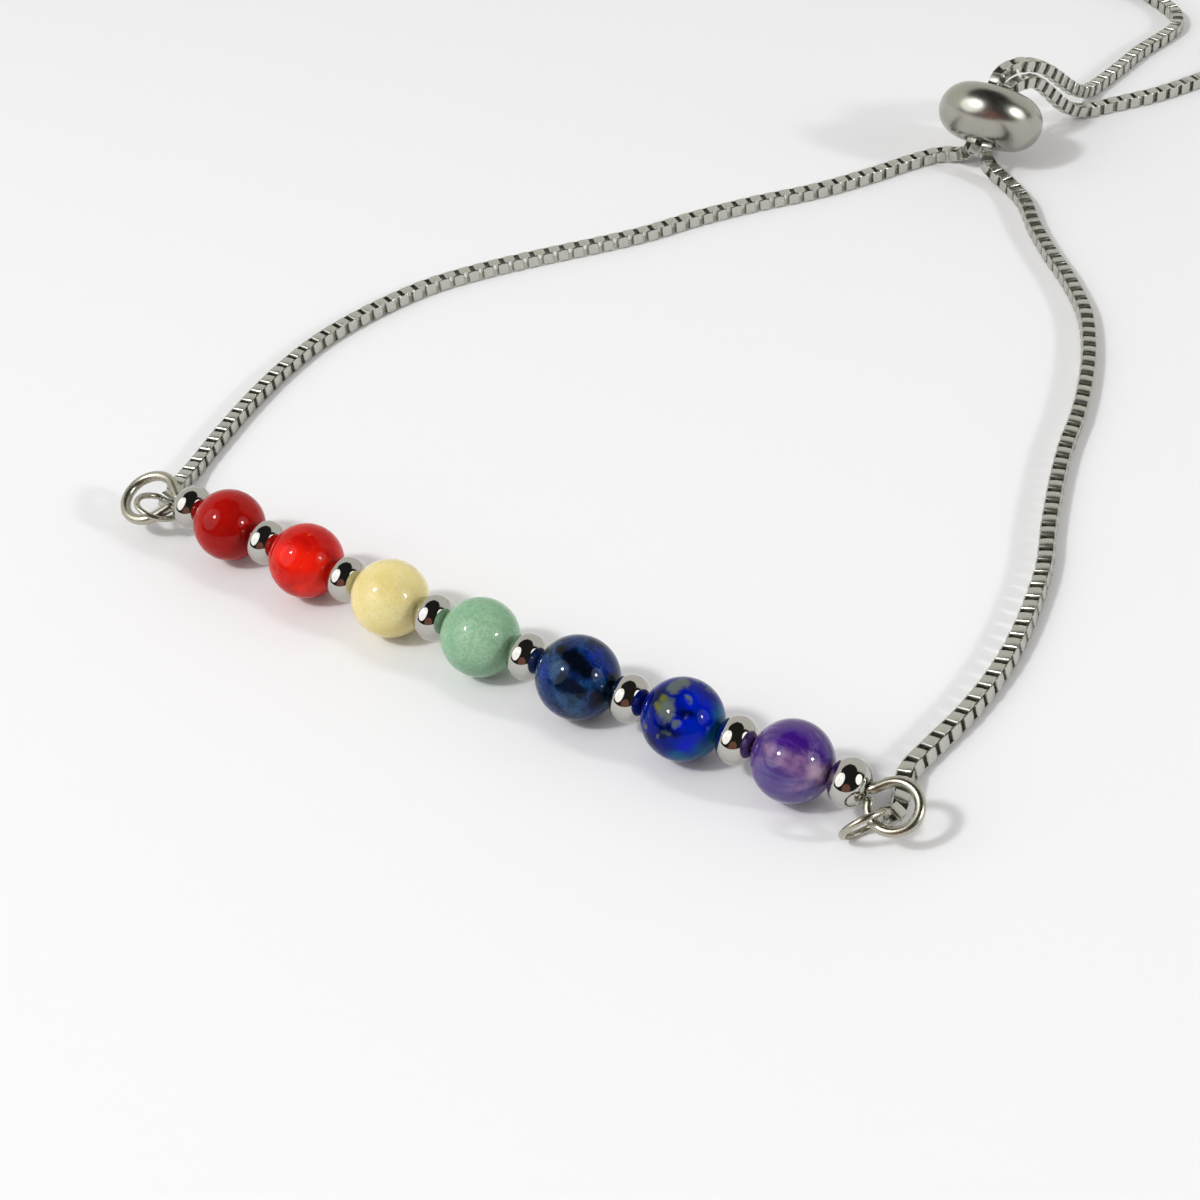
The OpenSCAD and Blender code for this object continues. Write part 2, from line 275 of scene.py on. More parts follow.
# s is a stone's place along the row and d its width. cloud, depth and reach spread light below its
# surface, clear lets light through, haze is a pale sheen, and each layer lies over the ones before it
stoneLooks = {
    "dark_red_bead": {
        "slot": "dark_red_stone", "d": 5.8, "s": -26.45, "base": (0.36, 0.005, 0.003), "gloss": 0.13,
        "cloud": 0.2, "depth": 0.5, "reach": (1.0, 0.15, 0.1), "layers": [
            {"scale": 1.4, "low": 0.4, "high": 0.7, "colour": (0.25, 0.004, 0.003), "strength": 0.6},
            {"scale": 9.0, "low": 0.62, "high": 0.76, "colour": (0.48, 0.03, 0.008), "strength": 0.35}]},
    "orange_red_bead": {
        "slot": "orange_red_stone", "d": 5.95, "s": -17.775, "base": (0.46, 0.005, 0.003), "gloss": 0.14,
        "cloud": 0.5, "depth": 1.0, "reach": (1.0, 0.2, 0.1), "layers": [
            {"scale": 1.6, "low": 0.42, "high": 0.66, "stretch": (0.4, 2, 2),
             "colour": (0.58, 0.009, 0.005)},
            # painted light: bright bands where light glows through the stone, placed as the camera sees
            # them
            {"spots": [(-0.55, -0.16, 0.3), (-0.2, -0.04, 0.36), (0.2, 0.1, 0.36), (0.5, 0.24, 0.28)],
             "soft": 0.65, "colour": (0.86, 0.018, 0.006), "strength": 0.8},
            # painted light: a second bright glow low on the stone, placed as the camera sees it
            {"spots": [(0.0, 0.76, 0.22), (0.34, 0.7, 0.26)], "soft": 0.65, "colour": (0.95, 0.035, 0.016),
             "strength": 0.75},
            {"scale": 9.0, "low": 0.64, "high": 0.74, "colour": (0.9, 0.16, 0.03), "strength": 0.3}]},
    "yellow_bead": {
        "slot": "yellow_stone", "d": 6.05, "s": -8.975, "base": (0.84, 0.72, 0.32), "gloss": 0.4,
        "cloud": 0.75, "depth": 2.0, "reach": (1.0, 0.9, 0.6), "clear": 0.12, "layers": [
            {"scale": 1.5, "low": 0.4, "high": 0.7, "colour": (0.88, 0.8, 0.46), "strength": 0.7},
            {"spots": [(-0.6, -0.35, 0.35), (-0.1, -0.4, 0.3), (0.4, -0.3, 0.25)], "soft": 0.8,
             "colour": (0.62, 0.5, 0.2), "strength": 0.3},
            {"scale": 13.0, "low": 0.4, "high": 0.66, "colour": (0.7, 0.6, 0.27), "strength": 0.4},
            {"scale": 21.0, "low": 0.58, "high": 0.7, "colour": (0.92, 0.85, 0.55), "strength": 0.45}]},
    "green_bead": {
        "slot": "green_stone", "d": 6.0, "s": -0.15, "base": (0.25, 0.46, 0.29), "gloss": 0.3, "cloud": 0.6,
        "depth": 1.6, "reach": (0.7, 1.0, 0.75), "clear": 0.1, "layers": [
            {"scale": 1.6, "low": 0.4, "high": 0.7, "colour": (0.34, 0.55, 0.36), "strength": 0.7},
            # painted light: a lighter middle facing the camera, the glow of light through the stone
            {"spots": [(0.0, -0.05, 0.5)], "soft": 0.9, "colour": (0.46, 0.66, 0.46), "strength": 0.6},
            {"scale": 12.0, "low": 0.42, "high": 0.62, "warp": 0.8, "colour": (0.16, 0.3, 0.19),
             "strength": 0.4},
            {"scale": 22.0, "low": 0.6, "high": 0.7, "colour": (0.5, 0.66, 0.5), "strength": 0.45},
            {"scale": 15.0, "low": 0.68, "high": 0.74, "colour": (0.05, 0.12, 0.07), "strength": 0.5}]},
    "dark_blue_bead": {
        "slot": "dark_blue_stone", "d": 6.25, "s": 8.775, "base": (0.004, 0.021, 0.11), "gloss": 0.14,
        "haze": 0.02, "cloud": 0.1, "depth": 0.4, "reach": (0.3, 0.5, 1.0), "layers": [
            {"scale": 1.3, "low": 0.45, "high": 0.7, "warp": 0.6, "colour": (0.014, 0.065, 0.16),
             "strength": 0.7},
            {"spots": [(0.45, -0.5, 0.28), (-0.78, -0.12, 0.2), (0.72, -0.12, 0.22)], "soft": 0.7,
             "wobble": 0.5, "colour": (0.003, 0.018, 0.22), "strength": 0.75},
            # painted reflection: a pale blue-grey haze at the left highlight and a paler rim at the top
            # left; the patch low down is the stone's own paler vein
            {"spots": [(-0.48, -0.3, 0.24), (-0.6, -0.7, 0.2), (-0.1, 0.66, 0.3)], "soft": 0.8,
             "wobble": 0.5, "colour": (0.04, 0.11, 0.18), "strength": 0.55},
            {"scale": 7.0, "low": 0.46, "high": 0.7, "colour": (0.002, 0.007, 0.04), "strength": 0.65},
            {"scale": 8.0, "low": 0.56, "high": 0.66, "warp": 1.8, "colour": (0.045, 0.12, 0.22),
             "strength": 0.45},
            {"scale": 1.5, "low": 0.56, "high": 0.7, "shift": (3, 1, 2), "warp": 0.8,
             "colour": (0.002, 0.004, 0.01), "strength": 0.8},
            {"spots": [(-0.38, -0.64, 0.17), (-0.18, -0.52, 0.24), (0.02, -0.36, 0.25), (0.16, -0.18, 0.2)],
             "soft": 0.42, "wobble": 0.42, "colour": (0.0012, 0.002, 0.005), "strength": 0.97},
            {"spots": [(-0.34, 0.02, 0.19), (-0.16, 0.17, 0.24), (0.02, 0.3, 0.18), (0.5, 0.42, 0.28),
                       (0.8, 0.1, 0.25)], "soft": 0.5, "wobble": 0.45, "colour": (0.0012, 0.003, 0.01),
             "strength": 0.92}]},
    "bright_blue_bead": {
        "slot": "bright_blue_stone", "d": 6.0, "s": 17.7, "base": (0.0, 0.006, 0.17), "gloss": 0.1,
        "cloud": 0.05, "depth": 0.4, "reach": (0.3, 0.4, 1.0), "layers": [
            {"spots": [(0.3, 0.2, 0.3), (0.1, 0.5, 0.3), (0.5, -0.2, 0.24), (0.2, -0.5, 0.24),
                       (-0.1, 0.1, 0.2)], "soft": 0.7, "wobble": 0.5, "colour": (0.0, 0.01, 0.5),
             "strength": 0.9},
            {"scale": 1.3, "low": 0.45, "high": 0.7, "colour": (0.0, 0.02, 0.2), "strength": 0.5},
            {"spots": [(0.86, -0.1, 0.28), (0.78, 0.4, 0.34), (0.45, 0.76, 0.34), (-0.1, 0.86, 0.28)],
             "soft": 0.6, "wobble": 0.45, "colour": (0.003, 0.1, 0.22), "strength": 0.9},
            {"spots": [(-0.42, 0.2, 0.26), (-0.62, -0.5, 0.26), (0.02, -0.2, 0.17), (-0.75, 0.5, 0.22)],
             "soft": 0.5, "wobble": 0.6, "colour": (0.0, 0.002, 0.03), "strength": 0.9},
            # painted sheen: grey patches along the stone's edge as the camera sees it
            {"spots": [(-0.88, 0.42, 0.14), (-0.62, 0.76, 0.16), (-0.1, 0.98, 0.14), (0.7, -0.68, 0.12),
                       (0.35, -0.92, 0.14)], "soft": 0.7, "wobble": 0.4, "colour": (0.07, 0.11, 0.1),
             "strength": 0.7},
            {"spots": [(-0.2, -0.8, 0.2), (-0.05, -0.88, 0.2), (0.09, -0.54, 0.09), (-0.45, -0.32, 0.22),
                       (-0.38, -0.1, 0.14), (-0.16, 0.04, 0.1), (-0.58, 0.34, 0.07), (-0.9, 0.1, 0.1)],
             "soft": 0.5, "wobble": 0.48, "colour": (0.1, 0.125, 0.09), "strength": 0.85},
            {"spots": [(-0.62, -0.36, 0.09), (-0.5, -0.52, 0.09)], "soft": 0.6, "wobble": 0.3,
             "colour": (0.12, 0.13, 0.015), "strength": 0.9},
            {"scale": 1.9, "low": 0.64, "high": 0.74, "shift": (1, 4, 2), "warp": 0.5,
             "colour": (0.07, 0.09, 0.08), "strength": 0.8}]},
    "violet_bead": {
        "slot": "violet_stone", "d": 5.85, "s": 26.425, "base": (0.095, 0.042, 0.24), "gloss": 0.26,
        "cloud": 0.12, "depth": 1.0, "reach": (0.7, 0.3, 1.0), "clear": 0.35, "layers": [
            {"spots": [(-0.2, 0.6, 0.42), (0.25, 0.72, 0.36), (-0.7, 0.2, 0.3)], "soft": 0.8,
             "colour": (0.13, 0.1, 0.34), "strength": 0.8},
            {"spots": [(-0.4, -0.5, 0.22), (-0.12, -0.62, 0.28), (0.2, -0.56, 0.28), (0.48, -0.4, 0.26),
                       (0.7, -0.1, 0.2)], "soft": 0.45, "wobble": 0.3, "colour": (0.055, 0.004, 0.26),
             "strength": 0.9},
            # painted light: a lighter pink band along the hole where the bore shows through the stone,
            # placed as the camera sees it
            {"spots": [(-0.6, -0.36, 0.15), (-0.3, -0.16, 0.2), (0.05, 0.0, 0.23), (0.36, 0.14, 0.26),
                       (0.62, 0.24, 0.2)], "soft": 0.6, "wobble": 0.25, "colour": (0.36, 0.2, 0.38),
             "strength": 0.8},
            {"scale": 1.7, "low": 0.46, "high": 0.7, "stretch": (0.25, 2.0, 2.0), "shift": (0, 3, 1),
             "colour": (0.05, 0.01, 0.2), "strength": 0.6},
            {"scale": 2.0, "low": 0.48, "high": 0.8, "stretch": (0.2, 2.2, 2.2), "colour": (0.5, 0.3, 0.46),
             "strength": 0.6},
            # painted light: a pale pink brightening on that band
            {"spots": [(0.42, 0.16, 0.17), (0.6, 0.24, 0.12)], "soft": 0.8, "wobble": 0.3,
             "colour": (0.8, 0.62, 0.72), "strength": 0.55}]},
}


def stoneProfile(radius):
    bore, rim = stone["bore"] / 2, stone["rim"]
    edge = math.asin((bore + rim) / radius)
    outer = arc((0, 0), radius, math.pi / 2 - edge, edge - math.pi / 2, stone["arcSteps"])
    rimZ = radius * math.cos(edge) - rim * lip["drop"]
    inner = [(bore + rim * lip["in"], rimZ + rim * lip["up"]), (bore, rimZ - rim)]
    return inner[::-1] + outer + [(r, -z) for r, z in inner]


for node, look in stoneLooks.items():
    place = onBow(look["s"])
    radius = look["d"] / 2
    bead = lathe(node.replace("_", "-"), stoneProfile(radius)[::-1], stone["steps"], place @ alongRow)
    material = stoneMaterial(node + "Stone", look, place.translation * mm, radius * mm)
    finish(bead, material, look["slot"], node)
print("stones", len(stoneLooks))


def rimmedProfile(bead):
    # a bead whose outer side is one round; its ends are flat or end on the round, by the hole's width
    r, bore, rim = bead["length"] / 2, bead["bore"] / 2, bead["rim"]
    middle = bead["d"] / 2 - r
    flat = bore + rim <= middle
    start = math.pi / 2 if flat else math.acos(min(1, (bore + rim - middle) / r))
    outer = arc((middle, 0), r, start, -start, bead["arcSteps"])
    top = r if flat else outer[0][1]
    edge = [(bore, top - rim), (bore + rim * lip["in"], top - rim * lip["in"])]
    if flat:
        edge.append((bore + rim, r))
    return edge + outer + [(a, -b) for a, b in reversed(edge)]


spacer = {"d": 3.6, "length": 2.7, "bore": 1.0, "rim": 0.06, "steps": 72, "arcSteps": 40,
          "s": (-30.75, -22.15, -13.4, -4.55, 4.25, 13.3, 22.1, 30.75)}
for number, s in enumerate(spacer["s"], 1):
    bead = lathe(f"spacer{number}", rimmedProfile(spacer)[::-1], spacer["steps"], onBow(s) @ alongRow)
    finish(bead, metal["spacerPolish"], "spacer_metal", f"spacer_bead_{number}")

slider = {"d": 10.4, "length": 5.2, "bore": 3.34, "rim": 0.3, "at": (-2.1, 85.7, 5.0), "tilt": 40,
          "lane": 0.75, "steps": 96, "arcSteps": 48}
sliderTurn = Matrix.Rotation(-math.radians(slider["tilt"]), 4, "X")
sliderPlace = Matrix.Translation(barAt + Vector(slider["at"])) @ sliderTurn
sliderBead = lathe("slider", rimmedProfile(slider)[::-1], slider["steps"], sliderPlace)
finish(sliderBead, metal["sliderPolish"], "slider_metal", "slider_bead")
print("spacers and slider")


pin = {"d": 0.65, "bend": 0.3, "gap": 0.1, "rowSteps": 24, "bendSteps": 7, "straightSteps": 5,
       "roundSteps": 64}
loops = {
    "left": {"side": -1, "r": 2.2, "wire": 0.86, "centre": 3.2075, "drop": 0.9, "tilt": 70, "apex": 0.36,
             "round": False},
    "right": {"side": 1, "r": 1.75, "wire": 0.76, "centre": 2.127, "drop": 0.5, "tilt": 62, "apex": 0.12,
              "round": True},
}


def loopPath(loop):
    # from the pin's end straight onto the round and about it, then back beside the neck
    side, r = loop["side"], loop["r"]
    place = onBow(side * bow["halfRow"])
    tilt = math.radians(loop["tilt"])
    up = Vector((0, math.sin(tilt), math.cos(tilt)))
    apexAt = loop["apex"]
    centreAt = loop["centre"] - apexAt
    far = math.hypot(centreAt, loop["drop"])
    toCentre = math.atan2(-loop["drop"], centreAt)
    opening = math.asin(r / far)
    tangent = math.sqrt(far * far - r * r)

    def flat(distance, angle):
        return (apexAt + distance * math.cos(angle), distance * math.sin(angle))

    topAngle, lowAngle = toCentre + opening, toCentre - opening
    bend = min(pin["bend"], tangent / 2)
    path = []
    corners = list(zip((apexAt - bend, 0), (apexAt, 0), flat(bend, topAngle)))
    for i in range(pin["bendSteps"] + 1):
        t = i / pin["bendSteps"]
        path.append(tuple((1 - t) ** 2 * a + 2 * t * (1 - t) * b + t * t * c for a, b, c in corners))
    for i in range(1, pin["straightSteps"]):
        path.append(flat(bend + (tangent - bend) * i / pin["straightSteps"], topAngle))
    first = topAngle + math.pi / 2
    clear = (pin["d"] + loop["wire"]) / 2 + pin["gap"]
    if loop["round"]:  # the end keeps to the round until it meets the neck
        last = -math.pi + math.asin((clear - loop["drop"]) / r)
    else:
        last = lowAngle - math.pi / 2
    for i in range(pin["roundSteps"] + 1):
        a = first + (last - first) * i / pin["roundSteps"]
        path.append((apexAt + centreAt + r * math.cos(a), -loop["drop"] + r * math.sin(a)))
    if not loop["round"]:
        stop = min(clear / math.sin(2 * opening), tangent)
        for i in range(1, pin["straightSteps"] + 1):
            path.append(flat(tangent + (stop - tangent) * i / pin["straightSteps"], lowAngle))
    thick = []
    for number, (x, z) in enumerate(path):
        t = min(1, number / pin["bendSteps"])  # the pin's end swells to the loop's wire along the bend
        thickness = pin["d"] + (loop["wire"] - pin["d"]) * t
        thick.append((place @ (Vector((side * x, 0, 0)) + z * up), thickness / 2))
    return thick


leftPath = loopPath(loops["left"])
rightPath = loopPath(loops["right"])
shares = [2 * i / pin["rowSteps"] - 1 for i in range(1, pin["rowSteps"])]
inside = [(onBow(bow["halfRow"] * share).translation, pin["d"] / 2) for share in shares]
eyePin = wire("eyePin", leftPath[::-1] + inside + rightPath)
finish(eyePin, metal["wireFinish"], "pin_wire", "eye_pin")


ringWire = {"r": 1.7, "d": 0.5, "steps": 64, "joint": 2}  # the joint is left open by this many degrees
rings = {
    "ring_left": {"at": (-34.15, -0.164, 2.546), "normal": (0.2668, 0.3673, 0.891), "cut": 200},
    "ring_right": {"at": (32.85, -0.865, 1.771), "normal": (-0.7716, 0.4455, 0.454), "cut": 150},
}
for node, ring in rings.items():
    normal = Vector(ring["normal"]).normalized()
    across = normal.orthogonal().normalized()
    other = normal.cross(across)
    path = []
    for i in range(ringWire["steps"] + 1):
        a = ring["cut"] + ringWire["joint"] / 2 + (360 - ringWire["joint"]) * i / ringWire["steps"]
        a = math.radians(a)
        spot = barAt + Vector(ring["at"]) + ringWire["r"] * (across * math.cos(a) + other * math.sin(a))
        path.append((spot, ringWire["d"] / 2))
    finish(wire(node.replace("_", "-"), path), metal["wireFinish"], "pin_wire", node)
print("pin, loops and rings")


chain = {"width": 1.32, "linkLength": 1.12, "strip": 1.02, "thickness": 0.13, "dome": 0.035,
         "pitch": 0.75, "bend": 0.18, "bendSteps": 2, "sharp": 60, "ease": 3, "seed": 7, "sway": 1.2}
restZ = chain["width"] / 2


def lane(side, share):
    # a spot on one strand's way through the slider, share 1 at the slider's upper end
    half = slider["length"] / 2
    tilt = math.radians(slider["tilt"])
    up = Vector((0, math.sin(tilt), math.cos(tilt)))
    return tuple(Vector(slider["at"]) + Vector((side * slider["lane"], 0, 0)) + share * half * up)


# link and out place the end link on its ring. turn and settle are the strand's twist there and further
# on, lean is an extra twist at some points, and route leads from the ring to the free end
strands = {
    "chain_left": {"link": (-34.641, 1.421, 2.04), "out": (-0.2831, 0.9136, -0.2918), "turn": -68.7,
                   "settle": -90, "lean": [(0, 0), (1, 0)], "route": [
        (-35.6, 3, 1.6), (-36.6, 5, 1), (-37.5, 7.5, restZ), (-38.5, 11, restZ), (-39.5, 15, restZ),
        (-40.3, 19, restZ), (-40.8, 23, restZ), (-40.9, 27, restZ), (-40.4, 31, restZ),
        (-39.3, 35.5, restZ), (-37.6, 40, restZ), (-34.8, 44.5, restZ), (-31.5, 48.8, restZ),
        (-28, 53, restZ), (-24.7, 57.2, restZ), (-21.8, 62, restZ), (-18.2, 67, restZ), (-14, 72, restZ),
        (-10.9, 76.8, restZ), (-8.6, 81, restZ), (-6.8, 83.7, restZ), (-4.9, 84.4, 0.9), (-3.4, 83.7, 1.9),
        lane(-1, -0.9), lane(-1, 0), lane(-1, 0.9), (-2.6, 88.7, 8.1), (-1.7, 90, 8.6), (-0.8, 91.4, 8.3),
        (-0.2, 93, 7.4), (0.3, 94.7, 6), (0.6, 96.8, 4.2), (0.8, 99.5, 2.2), (0.9, 102.6, 0.9),
        (1.2, 106, restZ), (1.5, 109.5, restZ), (1.8, 113.4, restZ), (2.6, 117.5, restZ),
        (2.8, 120.5, restZ), (1.6, 123.2, restZ), (-0.8, 125.3, restZ), (-3.1, 126.6, 0.9),
        (-6.1, 128.2, 1.6)]},
    "chain_right": {"link": (33.527, 0.688, 1.397), "out": (0.39, 0.8952, -0.2156), "turn": 27.7,
                    "settle": 0, "lean": [(2, 0), (4, -14), (9, -10), (14, 6), (20, 0)], "route": [
        (33.5, 2.6, 1), (32.9, 4.3, 0.75), (32.5, 6, restZ), (32.8, 9, restZ), (33.2, 12.5, restZ),
        (33.3, 16.5, restZ), (33, 20.5, restZ), (32.2, 25, restZ), (30.9, 30, restZ), (29.1, 34.5, restZ),
        (27.3, 39.5, restZ), (25.8, 44.3, restZ), (24.6, 49.3, restZ), (23.1, 54, restZ),
        (21.2, 58.7, restZ), (18.6, 63.5, restZ), (15, 67.9, restZ), (11.3, 71.6, restZ), (8, 75.2, restZ),
        (5.2, 78.8, restZ), (2.4, 81.2, 0.7), (0.2, 82.2, 1.2), (-0.9, 82.8, 2), lane(1, -0.9), lane(1, 0),
        lane(1, 0.9), (-1, 88.5, 7.3), (-0.6, 89.6, 7.3), (-0.1, 90.9, 6.9), (0.4, 92.4, 5.6),
        (0.9, 94, 3.9), (1.3, 95.8, 2.2), (1.8, 97.6, 1.1), (2.9, 99.3, restZ), (4.2, 101, restZ),
        (5.8, 103, restZ), (7.5, 105.3, restZ), (9, 108, restZ), (10.6, 111.2, restZ), (12, 114, 0.9),
        (13.5, 117.2, 1.6)]},
}


def chainTree(material):
    tree = bpy.data.node_groups.new("boxChain", "GeometryNodeTree")
    face = tree.interface
    face.new_socket("Geometry", in_out="INPUT", socket_type="NodeSocketGeometry")
    for name in ("Chain Width", "Link Length", "Strip Width", "Strip Thickness", "Dome", "Bend Radius",
                 "Pitch", "Sway"):
        face.new_socket(name, in_out="INPUT", socket_type="NodeSocketFloat")
    face.new_socket("Seed", in_out="INPUT", socket_type="NodeSocketInt")
    face.new_socket("Geometry", in_out="OUTPUT", socket_type="NodeSocketGeometry")

    def add(kind, inputs=(), **settings):
        return addNode(tree, kind, inputs, **settings)

    def calc(operation, a, b):
        return add("ShaderNodeMath", {0: a, 1: b}, operation=operation).outputs[0]

    def ramp(value, low, high, toLow, toHigh):
        limits = {"From Min": low, "From Max": high, "To Min": toLow, "To Max": toHigh}
        return add("ShaderNodeMapRange", {"Value": value, **limits}).outputs["Result"]

    given = add("NodeGroupInput").outputs
    # one link: a strip bent round a rounded rectangle
    halfThick = calc("MULTIPLY", given["Strip Thickness"], 0.5)
    outline = add("GeometryNodeCurvePrimitiveQuadrilateral", {
        "Width": calc("SUBTRACT", given["Chain Width"], given["Strip Thickness"]),
        "Height": calc("SUBTRACT", given["Link Length"], given["Strip Thickness"])})
    rounded = add("GeometryNodeFilletCurve", {
        "Curve": outline.outputs["Curve"], "Radius": calc("SUBTRACT", given["Bend Radius"], halfThick),
        "Count": chain["bendSteps"], "Limit Radius": True}, mode="POLY")
    # the strip's section: a pentagon pulled square, its outer face raised in the middle; the pentagon's
    # corners lie at x -0.81, 0.31 and 1, just beyond the limits of the ramps
    halfWide = calc("MULTIPLY", given["Strip Width"], 0.5)
    pentagon = add("GeometryNodeCurvePrimitiveCircle", {"Resolution": 5, "Radius": 1})
    corner = add("ShaderNodeSeparateXYZ", {0: add("GeometryNodeInputPosition").outputs["Position"]}).outputs
    shoulder = calc("SUBTRACT", halfThick, given["Dome"])
    body = ramp(corner["X"], -0.8, 0.3, calc("MULTIPLY", halfThick, -1), shoulder)
    crown = ramp(corner["X"], 0.32, 1, 0, given["Dome"])
    sideways = ramp(corner["Y"], -0.5, 0.5, calc("MULTIPLY", halfWide, -1), halfWide)
    section = add("ShaderNodeCombineXYZ", {"X": calc("ADD", body, crown), "Y": sideways})
    strip = add("GeometryNodeSetPosition", {
        "Geometry": pentagon.outputs["Curve"], "Position": section.outputs["Vector"]})
    level = add("GeometryNodeSetCurveNormal", {"Curve": rounded.outputs["Curve"]}, mode="Z_UP")
    link = add("GeometryNodeCurveToMesh", {
        "Curve": level.outputs["Curve"], "Profile Curve": strip.outputs["Geometry"]})
    upright = add("GeometryNodeTransform", {
        "Geometry": link.outputs["Mesh"], "Rotation": (math.pi / 2, 0, 0)})
    # the strand's path, one spot for each link
    path = add("GeometryNodeMeshToCurve", {"Mesh": given["Geometry"]})
    smoothPath = add("GeometryNodeCurveSplineType", {"Curve": path.outputs["Curve"]},
                     spline_type="CATMULL_ROM")
    levelPath = add("GeometryNodeSetCurveNormal", {"Curve": smoothPath.outputs["Curve"]}, mode="Z_UP")
    spots = add("GeometryNodeCurveToPoints", {
        "Curve": levelPath.outputs["Curve"], "Length": given["Pitch"]}, mode="LENGTH")
    # every other link a quarter turn, with a little sway
    number = add("GeometryNodeInputIndex").outputs[0]
    quarter = calc("MULTIPLY", calc("MODULO", number, 2), math.pi / 2)
    roll = add("GeometryNodeInputNamedAttribute", {"Name": "roll"}, data_type="FLOAT")
    sway = add("FunctionNodeRandomValue", {
        "Min": calc("MULTIPLY", given["Sway"], -1), "Max": given["Sway"], "Seed": given["Seed"]},
        data_type="FLOAT")
    turn = calc("ADD", calc("ADD", quarter, roll.outputs["Attribute"]), sway.outputs["Value"])
    spin = add("FunctionNodeAxisAngleToRotation", {"Axis": (0, 0, 1), "Angle": turn})
    turned = add("FunctionNodeRotateRotation", {
        "Rotation": spots.outputs["Rotation"], "Rotate By": spin.outputs["Rotation"]},
        rotation_space="LOCAL")
    placed = add("GeometryNodeInstanceOnPoints", {
        "Points": spots.outputs["Points"], "Instance": upright.outputs["Geometry"],
        "Rotation": turned.outputs["Rotation"]})
    real = add("GeometryNodeRealizeInstances", {"Geometry": placed.outputs["Instances"]})
    # smooth faces with crisp edges where the strip's sides meet
    angle = add("GeometryNodeInputMeshEdgeAngle").outputs["Unsigned Angle"]
    sharp = add("FunctionNodeCompare", {0: angle, 1: math.radians(chain["sharp"])},
                data_type="FLOAT", operation="GREATER_THAN")
    soft = add("GeometryNodeSetShadeSmooth", {"Geometry": real.outputs["Geometry"]}, domain="FACE")
    crisp = add("GeometryNodeSetShadeSmooth", {
        "Geometry": soft.outputs["Geometry"], "Selection": sharp.outputs["Result"], "Shade Smooth": False},
        domain="EDGE")
    dressed = add("GeometryNodeSetMaterial", {"Geometry": crisp.outputs["Geometry"], "Material": material})
    add("NodeGroupOutput", {"Geometry": dressed.outputs["Geometry"]})
    return tree


def along(table, place):
    # the value at a place between the rows of a table
    for (low, first), (high, second) in zip(table, table[1:]):
        if place < high:
            return first + (second - first) * max(0.0, place - low) / (high - low)
    return table[-1][1]


chainGroup = chainTree(metal["chainFinish"])
for node, strand in strands.items():
    first = Vector(strand["link"])
    out = Vector(strand["out"]).normalized()
    route = [first, first + out * chain["pitch"]] + [Vector(p) for p in strand["route"]]
    mesh = bpy.data.meshes.new(node + "Path")
    for i, p in enumerate(route):  # a leaning link stands a little higher
        lean = math.radians(abs(along(strand["lean"], i)))
        p.z += chain["strip"] / 2 * math.sin(lean) - chain["width"] / 2 * (1 - math.cos(lean))
    mesh.from_pydata([(barAt + p) * mm for p in route], [(i, i + 1) for i in range(len(route) - 1)], [])
    roll = mesh.attributes.new("roll", "FLOAT", "POINT")
    for i in range(len(route)):  # the twist eases out over the first few points
        ease = max(0.0, 1 - max(i - 1, 0) / chain["ease"])
        turn = strand["settle"] + (strand["turn"] - strand["settle"]) * ease
        roll.data[i].value = math.radians(turn + along(strand["lean"], i))
    path = bpy.data.objects.new(node + "Path", mesh)
    scene.collection.objects.link(path)
    modifier = path.modifiers.new("links", "NODES")
    modifier.node_group = chainGroup
    values = {"Chain Width": chain["width"] * mm, "Link Length": chain["linkLength"] * mm,
              "Strip Width": chain["strip"] * mm, "Strip Thickness": chain["thickness"] * mm,
              "Dome": chain["dome"] * mm, "Bend Radius": chain["bend"] * mm,
              "Pitch": chain["pitch"] * mm, "Sway": math.radians(chain["sway"]), "Seed": chain["seed"]}
    for item in chainGroup.interface.items_tree:
        if item.item_type == "SOCKET" and item.in_out == "INPUT" and item.name in values:
            modifier[item.identifier] = values[item.name]
    evaluated = path.evaluated_get(bpy.context.evaluated_depsgraph_get())
    built = bpy.data.meshes.new_from_object(evaluated)
    path.modifiers.clear()
    piece = bpy.data.objects.new(node.replace("_", "-"), built)
    scene.collection.objects.link(piece)
    bpy.data.objects.remove(path)
    finish(piece, metal["chainFinish"], "chain_metal", node)
    print(node, "faces", len(built.polygons))


# the strand reaches into the bead by its grip, and the round stops short at the mouth and at the pole
endBead = {"d": 3.2, "grip": 1.3, "bore": 1.64, "clear": 0.12, "floor": 0.3, "mouth": 0.04, "pole": 0.1,
           "steps": 64, "arcSteps": 40}
for node, strandName in (("end_bead_left", "chain_left"), ("end_bead_right", "chain_right")):
    route = strands[strandName]["route"]
    last, before = Vector(route[-1]), Vector(route[-2])
    way = (last - before).normalized()
    radius, bore = endBead["d"] / 2, endBead["bore"] / 2
    turn = way.to_track_quat("Z", "Y").to_matrix().to_4x4()
    place = Matrix.Translation(barAt + last + way * (radius - endBead["grip"])) @ turn
    rim = math.asin(bore / radius)
    floorZ = -radius + endBead["grip"] + endBead["clear"]
    profile = [(endBead["floor"], floorZ), (bore, floorZ), (bore, -radius * math.cos(rim))]
    profile += arc((0, 0), radius, rim - math.pi / 2 + endBead["mouth"], math.pi / 2 - endBead["pole"],
                   endBead["arcSteps"])
    bead = lathe(node.replace("_", "-"), profile, endBead["steps"], place, closed=False)
    finish(bead, metal["sliderPolish"], "slider_metal", node)
print("end beads")


def circle(radius, steps, z=0):
    turns = [2 * math.pi * i / steps for i in range(steps)]
    return [(radius * math.cos(a), radius * math.sin(a), z) for a in turns]


